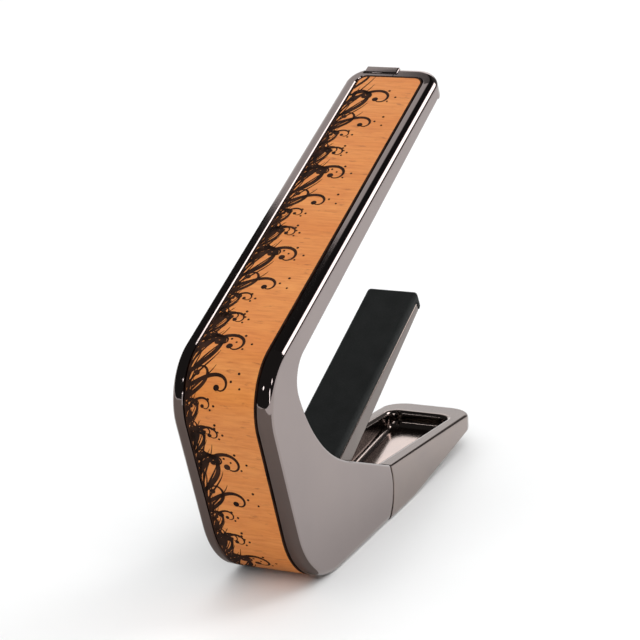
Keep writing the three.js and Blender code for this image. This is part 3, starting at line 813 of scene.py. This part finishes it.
def ear(side):
    """One of the plates that carry the lever's pivot, with the slot that drives the neck arm."""
    low, high = sorted((side * 4.6, side * 5.8))
    pivot, top = flat(*LEVER_PIVOT), LEVER_LIFT + TRAY_FLOOR
    along = (LINK - pivot).normalized()
    up = flat(-along.y, along.x)
    foot = across([flat(LEVER_BEND + 3, top - 0.4), flat(-26.2, top - 0.4), flat(pivot.x, pivot.y - 3),
                   flat(pivot.x, pivot.y + 3), flat(-31, 7.4), flat(LEVER_BEND + 3, 2.8)], low, high)
    nose = across([pivot - up * 3, LINK - up * 2.4, LINK + up * 2.4, pivot + up * 3], low, high)
    plate = combine(foot, nose, "UNION")
    plate = combine(plate, bar(LEVER_PIVOT, 3, low, high, 60), "UNION")
    plate = combine(plate, bar(LINK, 2.4, low, high, 60), "UNION")
    travel, slot_half = 0.5, 1.35
    left, right = math.atan2(up.y, up.x), math.atan2(-up.y, -up.x)
    slot = arc(LINK - along * travel, slot_half, left, left + math.pi) + arc(
        LINK + along * travel, slot_half, right, right + math.pi)
    plate = combine(plate, across(slot, low - 1, high + 1))
    return combine(plate, bar(LEVER_PIVOT, BUSH_RADIUS + FIT, low - 1, high + 1))


def lever_blank(curve):
    """The lever's outside; curve is its end that follows the body's knuckle."""
    tip_z = LEVER_LIFT + (LEVER_BEND - LEVER_TIP) * math.tan(LEVER_RISE)
    outline = [flat(LEVER_BEND, LEVER_LIFT), flat(LEVER_TIP, tip_z), flat(LEVER_TIP, LEVER_RIM), *curve]
    corners = together(*[corner_cutter(LEVER_TIP, side, TRAY_CORNER, -5, 20) for side in (-1, 1)])
    blank = combine(across(outline, -HALF, HALF), corners)

    def width(a, b):
        if abs(a.y - b.y) > HALF and a.x > LEVER_TIP + 1:
            return 0
        return 0.15 if min(a.x, b.x) > LEVER_BEND else 0.6
    return soften(blank, width, 5)


def lever_hollow(curve):
    """The space inside the lever, with a floor that bends like the lever and a rounded rim."""
    def floor_at(x):
        return LEVER_LIFT + TRAY_FLOOR + max(0, LEVER_BEND - x) * math.tan(FLOOR_RISE)
    rim_start, rim_round = flat(LEVER_TIP, LEVER_RIM), 0.8
    along = (curve[0] - rim_start).normalized()
    out = flat(-along.y, along.x)
    inside = HALF - TRAY_WALL
    plan = rounded([((TRAY_END, -inside), TRAY_INSIDE), ((60, -inside), 0),
                    ((60, inside), 0), ((TRAY_END, inside), TRAY_INSIDE)])
    levels = [(-rim_round * (1 - math.sin(a)), rim_round * (1 - math.cos(a)))
              for a in np.linspace(0, math.pi / 2, 6)]
    room = on_face(flat_rings(lambda grow: grown(plan, grow), [
        (-12, 0), *levels, (1, 1 + rim_round)]), rim_start, along, out)
    floor = across([flat(LEVER_TIP - 2, floor_at(LEVER_TIP - 2)), flat(LEVER_BEND, floor_at(LEVER_BEND)),
                    flat(8, floor_at(0)), flat(8, 40), flat(LEVER_TIP - 2, 40)], -HALF - 2, HALF + 2)
    hollow = combine(room, floor, "INTERSECT")
    return soften(hollow, lambda a, b: 1.1 if max(a.z, b.z) < 4.2 and min(a.x, b.x) < 0 else 0, 7)


def make_lever():
    reach = KNUCKLE_RADIUS + 0.22
    low_angle = math.pi + math.asin((LEVER_PIVOT[1] - LEVER_LIFT) / reach)
    curve = blunt_arc(LEVER_PIVOT, reach, KNUCKLE_TOP + 1.2 * DEGREE, low_angle)
    solid = combine(lever_blank(curve), lever_hollow(curve))
    half, end, corner, inset = 5.8, -24.7, 1.8, 0.02
    plan = rounded([((LEVER_BEND, -half), 0), ((end, -half), corner), ((end, half), corner),
                    ((LEVER_BEND, half), 0)])
    tongue = upright(plan, LEVER_LIFT + inset, LEVER_LIFT + TRAY_FLOOR - inset)
    solid = combine(solid, tongue, "UNION")
    for side in (1, -1):
        solid = combine(solid, ear(side), "UNION")
    piece("lever_tray", solid, "lever", "taupe_plate", TAUPE, "lever")


# ---- the spring ----

def tube(path, radius, sides=14):
    """A round wire along a path of close points."""
    rings = []
    side = Vector((0, 1, 0))
    for i, point in enumerate(path):
        along = (path[min(i + 1, len(path) - 1)] - path[max(i - 1, 0)]).normalized()
        side = (side - along * side.dot(along)).normalized()
        other = along.cross(side)
        turns = [2 * math.pi * k / sides for k in range(sides)]
        rings.append([point + (side * math.cos(turn) + other * math.sin(turn)) * radius for turn in turns])
    return loft(rings)


def make_spring():
    """A coil with a leg on the body's floor, and apart from it the leg that swings with the neck arm.

    The swinging leg is a little slimmer, so that its first turn hides inside the coil's.
    """
    radius, wire, turns, half, leg = 2.35, 0.4, 5, 2.5, 11
    pivot = flat(*NECK_PIVOT)
    start = math.atan2(NECK_DOWN.y, NECK_DOWN.x) + 2 * math.pi
    sweep = 2 * math.pi * turns + 3 * math.pi - start
    count = turns * 40
    overlap, slimmer = 30 * DEGREE, 0.88
    coil = []
    for i in range(count + 1):
        point = polar(pivot, radius, start + sweep * i / count)
        coil.append(Vector((point.x, half * (2 * i / count - 1), point.y)))
    web_leg = [coil[0] - Vector((NECK_ALONG.x, 0, NECK_ALONG.y)) * leg * share
               for share in np.linspace(1, 0.05, 12)]
    body_leg = [Vector((coil[-1].x, half, coil[-1].z + (CAVITY_FLOOR + 2 * wire - coil[-1].z) * share))
                for share in np.linspace(0.1, 1, 8)]
    shared = math.ceil(abs(overlap / sweep) * count)
    piece("torsion_coil", tube(coil + body_leg, wire), "body", "spring_steel", WIRE, "torsion_spring")
    piece("torsion_leg", tube(web_leg + coil[:shared], wire * slimmer), "neck_arm", "spring_steel", WIRE)


# ---- the small parts inside ----

def fine_copy(name, body, slot, finish, round_by):
    """A CAD part with its facets joined and its edges rounded by round_by millimetres."""
    source = frame["nodes"][name].data.copy()
    source.transform(Matrix.Scale(1 / MM, 4))
    mesh = soften(source, lambda a, b: round_by, 2)
    mesh.transform(Matrix.Scale(MM, 4))
    finished(f"{name}_part", mesh, body, slot, finish, name)


def make_small_parts():
    """A piece for each CAD part that no piece stands for yet."""
    looks = {"pin_steel": STEEL, "bush_bronze": BRONZE, "sleeve_nylon": NYLON, "pad_rubber": RUBBER,
             "carrier_plastic": PLASTIC}
    slots = {row["node"]: row["material_slot"] for row in frame["record"]["subparts"]}
    done = {name for other in scene.objects for name in other.get("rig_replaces", [])}
    for body, names in frame["record"]["behaviour"]["bodies"].items():
        for name in sorted(set(names) - done):
            fine_copy(name, body, slots[name], looks[slots[name]], 0.1)


make_body()
make_strip()
make_scroll()
make_latch()
make_fret_pad()
make_neck_arm()
make_lever()
make_spring()
make_small_parts()


# ---- studio ----

def ramp(tree, factor, stops):
    """A smooth curve through (position, value) stops, as a socket of plain numbers."""
    low, high = stops[0][0], stops[-1][0]
    made = node(tree, "ShaderNodeValToRGB", [("Fac", spread(tree, factor, 0, 1, low, high))])
    elements = made.color_ramp.elements
    while len(elements) < len(stops):
        elements.new(0.5)
    for element, (position, value) in zip(elements, stops):
        element.position = (position - low) / (high - low)
        element.color = (value / BRIGHTEST, value / BRIGHTEST, value / BRIGHTEST, 1)
    return made.outputs["Color"]


# small bright patches that dot the round shoulder: lean along the arm, half of its range, and the
# angle round the arm, half of its range
SHOULDER_WINDOWS = (-0.33, 0.04, 70, 14), (-0.07, 0.04, 58, 5)
LAMP_WAY = Vector((0.74, -0.43, 0.51))


def make_sky():
    """What the polished metal mirrors: soft cards and strips, laid out round the arm's own line.

    A direction is told by how far it leans along the arm (1 is straight along it), and by its
    angle round the arm (0 is out of the wood face, 90 is left, -90 is right).
    """
    world = bpy.data.worlds.new("studio")
    scene.world = world
    world.use_nodes = True
    tree = world.node_tree
    direction = node(tree, "ShaderNodeTexCoord").outputs["Generated"]

    def lean(x, y, z):
        return node(tree, "ShaderNodeVectorMath", [(0, direction), (1, (x, y, z))],
                    operation="DOT_PRODUCT").outputs["Value"]

    def maths(operation, *values):
        return node(tree, "ShaderNodeMath", list(enumerate(values)), operation=operation).outputs[0]

    along = lean(ARM_OUT.x, 0, ARM_OUT.y)
    angle = maths("MULTIPLY", maths("ARCTAN2", lean(0, 1, 0), lean(-ARM_IN.x, 0, -ARM_IN.y)), 180 / math.pi)
    open_side = ramp(tree, angle, [
        (-180, 0.5), (-160, 1.25), (-110, 1.3), (-80, 0.9), (-36.5, 0.85), (-34.5, 0.02), (44, 0.02),
        (50, 4.8), (90, 4.8), (94, 0.14), (180, 0.14)])
    dark_side = ramp(tree, angle, [(-180, 0.03), (46, 0.02), (52, 4.8), (88, 4.8), (92, 0.14), (180, 0.14)])
    front = ramp(tree, lean(0, 0, 1), [(-1, 0.35), (-0.02, 0.35), (0, 0.03), (1, 0.03)])
    round_tip = ramp(tree, angle, [
        (-180, 0.6), (-100, 0.9), (-90, 2.3), (-45, 2.3), (-35, 0.05), (120, 0.1), (180, 0.3)])
    light = blended(tree, spread(tree, along, 0, 1, 0.689, 0.692), dark_side, open_side)
    light = blended(tree, spread(tree, along, 0, 1, 0.86, 0.9), light, round_tip)
    light = blended(tree, spread(tree, along, 0, 1, 0.635, 0.64), front, light)
    white = (1, 1, 1)
    for lean_at, lean_half, angle_at, angle_half in SHOULDER_WINDOWS:
        window = maths("MULTIPLY", *(
            spread(tree, maths("ABSOLUTE", maths("SUBTRACT", value, at)), 1, 0, half, 1.2 * half)
            for value, at, half in ((along, lean_at, lean_half), (angle, angle_at, angle_half))))
        light = blended(tree, window, light, white)
    lamp = spread(tree, lean(*LAMP_WAY.normalized()), 0, 1, math.cos(0.06), math.cos(0.05))
    light = blended(tree, lamp, light, white)
    background = tree.nodes["Background"]
    tree.links.new(light, background.inputs["Color"])
    background.inputs["Strength"].default_value = BRIGHTEST


def make_floor():
    """A pale slab whose top lies just under the model."""
    far = 3000
    mesh = upright([flat(-far, -far), flat(far, -far), flat(far, far), flat(-far, far)], -5, -0.01)
    mesh.transform(TO_FRAME)
    floor = bpy.data.objects.new("floor", mesh)
    scene.collection.objects.link(floor)
    material, tree, principled = shader("pale_floor", (0.9, 0.905, 0.905), 0, 0.7)
    mottle = blended(tree, noise(tree, 0.02), (0.88, 0.885, 0.885), (0.92, 0.925, 0.925))
    tree.links.new(mottle, principled.inputs["Base Color"])
    mesh.materials.append(material)


def make_front_card():
    """A grey card on the floor before the riser. Only reflections see it."""
    near, far, right, left = -5, 2500, -500, 120
    mesh = upright([flat(near, right), flat(far, right), flat(far, left), flat(near, left)], 0.1, 0.3)
    mesh.transform(TO_FRAME)
    card = bpy.data.objects.new("front_card", mesh)
    scene.collection.objects.link(card)
    mesh.materials.append(shader("grey_card", (0.3, 0.27, 0.25), 0, 0.9)[0])
    card.visible_camera = card.visible_diffuse = card.visible_shadow = card.visible_transmission = False


def make_light(name, place, size, power):
    """A softbox that lights the scene but doesn't show in the polished metal."""
    data = bpy.data.lights.new(name, "AREA")
    data.shape = "DISK"
    data.size, data.energy = size, power
    light = bpy.data.objects.new(name, data)
    light.location = place
    light.rotation_euler = (-Vector(place)).to_track_quat("-Z", "Y").to_euler()  # looks at the origin
    light.visible_glossy = False
    scene.collection.objects.link(light)


PHOTOGRAPHER = Vector((267.9, 141, 137.6))
RIGHTWARDS = Vector((-0.33657, 0.94133, -0.02489))  # the photo's own right, nearly level
AIM_SHIFT = Vector((0.6, -1.8, -0.7))  # from the middle of the CAD's box, in millimetres


def make_camera():
    """Stands where the photographer stood, with the object centred and filling more of the frame."""
    place = TO_FRAME @ PHOTOGRAPHER
    data = bpy.data.cameras.new("camera")
    camera = bpy.data.objects.new("camera", data)
    scene.collection.objects.link(camera)
    aim = (cad_low + cad_high) / 2 + AIM_SHIFT * MM
    forward = (aim - place).normalized()
    right = (RIGHTWARDS - forward * RIGHTWARDS.dot(forward)).normalized()
    up = right.cross(forward)
    camera.matrix_world = Matrix((
        (right.x, up.x, -forward.x, place.x), (right.y, up.y, -forward.y, place.y),
        (right.z, up.z, -forward.z, place.z), (0, 0, 0, 1)))
    data.lens, data.sensor_width = 128, 36
    data.clip_start, data.clip_end = 0.01, 20
    scene.camera = camera


make_sky()
make_floor()
make_front_card()
make_light("top_light", (0.1, 0.05, 1.6), 4.6, 66)
make_light("front_light", (1.6, 0.3, 0.9), 1.6, 9)
make_camera()
scene.view_settings.view_transform = "Standard"
